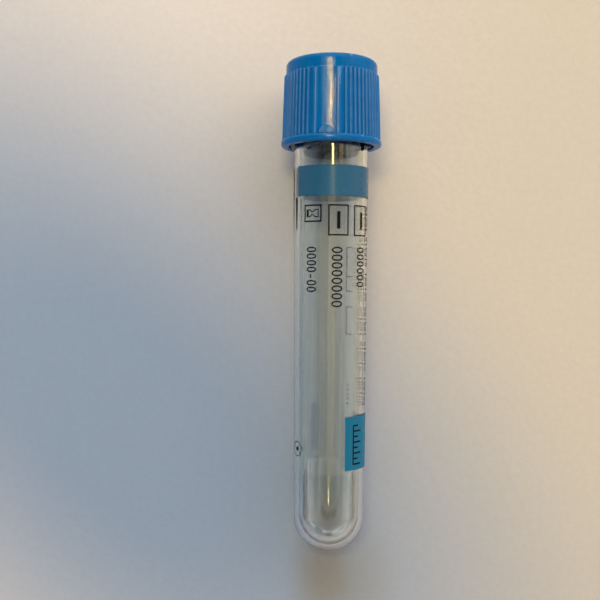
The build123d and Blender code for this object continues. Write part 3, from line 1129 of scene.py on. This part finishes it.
def panel_lamp(name, target, over, size, power, colour, lights=True, glints=True):
    """Flat lamp aimed at a point from over it, of a width and a length in metres and a power in watts.

    lights lets it light rough surfaces, glints lets gloss mirror it.
    """
    data = bpy.data.lights.new(name, "AREA")
    data.shape = "RECTANGLE"
    data.size, data.size_y = size
    data.energy, data.color = power, colour
    lamp = new_object(name, data)
    lamp.location = target + over
    lamp.rotation_euler = (target - lamp.location).to_track_quat("-Z", "Y").to_euler()
    lamp.visible_camera = lamp.visible_transmission = False
    lamp.visible_diffuse, lamp.visible_glossy = lights, glints
    return lamp


def soft_oval(tree, place, turn, length, start, end):
    """Socket that is 0 inside an oval on the paper and 1 outside, with a soft edge from start to end."""
    oval = add_node(
        tree, "ShaderNodeMapping", vector_type="TEXTURE", vector=object_place(tree), location=(*place, 0),
        rotation=(0, 0, turn), scale=(1, length, 1),
    )
    return smooth_step(tree, vectors(tree, "LENGTH", oval.outputs["Vector"], result="Value"), start, end)


def paper_material(pale, warm_light_tone, cool_shadow_tone, foot_shadows):
    """Smooth paper with faint fibres and relief.

    It is pale, with warm light painted on its right side, a cool painted shadow in a soft oval beside the tube, and
    painted warm shadows below the tube's foot.
    """
    made, tree, shader = start_material("paper")
    # painted warm light: the tone turns warmer towards the right
    right = vectors(tree, "DOT_PRODUCT", object_place(tree), (0.988, -0.154, 0), result="Value")
    tone = mix_colours(tree, smooth_step(tree, right, -0.045, 0.0369), pale, warm_light_tone)
    # painted shadow: a cool, darker oval beside the tube
    tone = mix_colours(tree, soft_oval(tree, (-0.0369, -0.0181), 0.789, 1.926, 0.0106, 0.0695), cool_shadow_tone, tone)
    # painted shadow: warm, darker tones below the tube's foot
    for shadow_tint, place, length, reach in foot_shadows:
        tone = multiplied(tree, tone, mix_colours(tree, soft_oval(tree, place, 0.0, length, 0.0, reach), shadow_tint, WHITE))
    fibres, soft = (noise(tree, object_place(tree), *grain) for grain in ((900.0, 5.0, 0.6), (120.0, 3.0, 0.5)))
    tone = multiplied(tree, tone, fade(tree, fibres, 0.35, 0.7, (0.955,) * 3, WHITE))
    finish_surface(tree, shader, tone, 0.9, maths(tree, "MULTIPLY_ADD", fibres, 0.35, soft), 0.00012)
    return made


def build_world():
    """Soft room light: pale near the horizon, cooler on the left, and dimmer overhead."""
    world = bpy.data.worlds.new("room")
    bpy.context.scene.world = world
    world.use_nodes = True
    tree = world.node_tree
    background = tree.nodes["Background"]
    direction = add_node(tree, "ShaderNodeTexCoord").outputs["Generated"]
    split = add_node(tree, "ShaderNodeSeparateXYZ", vector=direction).outputs
    horizon = fade(tree, split["X"], -0.8, 0.8, (0.43, 0.52, 0.63), (1.0, 0.93, 0.84))
    put(tree, background.inputs["Color"], fade(tree, split["Z"], 0.35, 0.85, horizon, (0.05, 0.055, 0.06)))
    background.inputs["Strength"].default_value = 1.05


class BuildStage(bpy.types.Operator):
    """Build the sheet of paper, the lamps and the camera"""

    bl_idname = "coagulation_tube.stage"
    bl_label = "Stage"

    def execute(self, context):
        colours, cycles = context.scene.tube_colours, context.scene.cycles
        low, high = cad_box
        centre = Vector(((low.x + high.x) / 2, (low.y + high.y) / 2, low.z))

        ticks = np.linspace(-PAPER_REACH, PAPER_REACH, PAPER_CELLS + 1)
        points = [(centre.x + x, centre.y + y, centre.z) for y in ticks for x in ticks]
        ids = np.arange(len(points)).reshape(len(ticks), len(ticks))
        paper = finish_mesh("paper", points, grid_faces(ids, False, False))
        if paper.data.polygons[0].normal.z < 0:
            paper.data.flip_normals()
        paper.data.materials.append(
            paper_material(colours.paper_pale, colours.paper_painted_warm_light, colours.paper_painted_cool_shadow, PAINTED_FOOT_SHADOWS)
        )

        capped = bpy.data.collections.new("lit by the cap lines")
        for piece in context.scene.objects:
            if piece.name.startswith("cap_moulding"):
                capped.objects.link(piece)
        for name, x, y, width, length, power, colour in LINE_LAMPS:
            spot = centre + Vector((x, y, 0))
            lamp = panel_lamp(name, spot, OVERHEAD, (width, length), power, colour, lights=False)
            if name.startswith("cap"):
                lamp.light_linking.receiver_collection = capped
        spot = centre + Vector((-0.08, 0.2, 0))
        panel_lamp("ceiling", spot, OVERHEAD, (0.24, 0.1), 1.3, WARM_LAMP, glints=False)
        panel_lamp("window", centre, Vector((0.2, 0.58, 0.5)), (1.5, 0.7), 4.8, (1.0, 0.93, 0.84))
        build_world()

        data = bpy.data.cameras.new("camera")
        data.lens, data.sensor_width = 51.4, 36.0
        data.clip_start, data.clip_end = 0.01, 20.0
        camera = new_object("camera", data)
        place = centre + Vector((*CAMERA_PLACE, context.scene.tube_sizes.camera_height))
        turn = Matrix.Identity(3)
        for axis, degrees in CAMERA_TURN:
            turn = turn @ Matrix.Rotation(math.radians(degrees), 3, axis)
        camera.matrix_world = Matrix.Translation(place) @ turn.transposed().to_4x4()
        context.scene.camera = camera

        context.scene.view_settings.view_transform = "Standard"
        cycles.caustics_reflective = cycles.caustics_refractive = False
        cycles.max_bounces = cycles.transmission_bounces = BOUNCES
        cycles.transparent_max_bounces = 40
        return {"FINISHED"}


PIECES = (
    BuildOuterTube, BuildInnerTube, BuildSolution, BuildLabelFilm, BuildPrint, BuildStopper, BuildCapRing, BuildCap,
    BuildStage,
)


class TubePanel(bpy.types.Panel):
    """Lists what builds the tube, and its sizes and colours"""

    bl_idname = "VIEW3D_PT_coagulation_tube"
    bl_label = "Coagulation tube"
    bl_space_type = "VIEW_3D"
    bl_region_type = "UI"
    bl_category = "Tube"

    def draw(self, context):
        for piece in PIECES:
            self.layout.operator(piece.bl_idname)
        for group in (context.scene.tube_sizes, context.scene.tube_colours):
            for name in group.__annotations__:
                self.layout.prop(group, name)


CLASSES = (TubeColours, TubeSizes, *PIECES, TubePanel)


def register():
    for each in CLASSES:
        bpy.utils.register_class(each)
    bpy.types.Scene.tube_colours = bpy.props.PointerProperty(type=TubeColours)
    bpy.types.Scene.tube_sizes = bpy.props.PointerProperty(type=TubeSizes)


def unregister():
    del bpy.types.Scene.tube_sizes
    del bpy.types.Scene.tube_colours
    for each in reversed(CLASSES):
        bpy.utils.unregister_class(each)


def main():
    register()
    for piece in PIECES:
        group, name = piece.bl_idname.split(".")
        getattr(getattr(bpy.ops, group), name)()


if __name__ == "__main__":
    main()
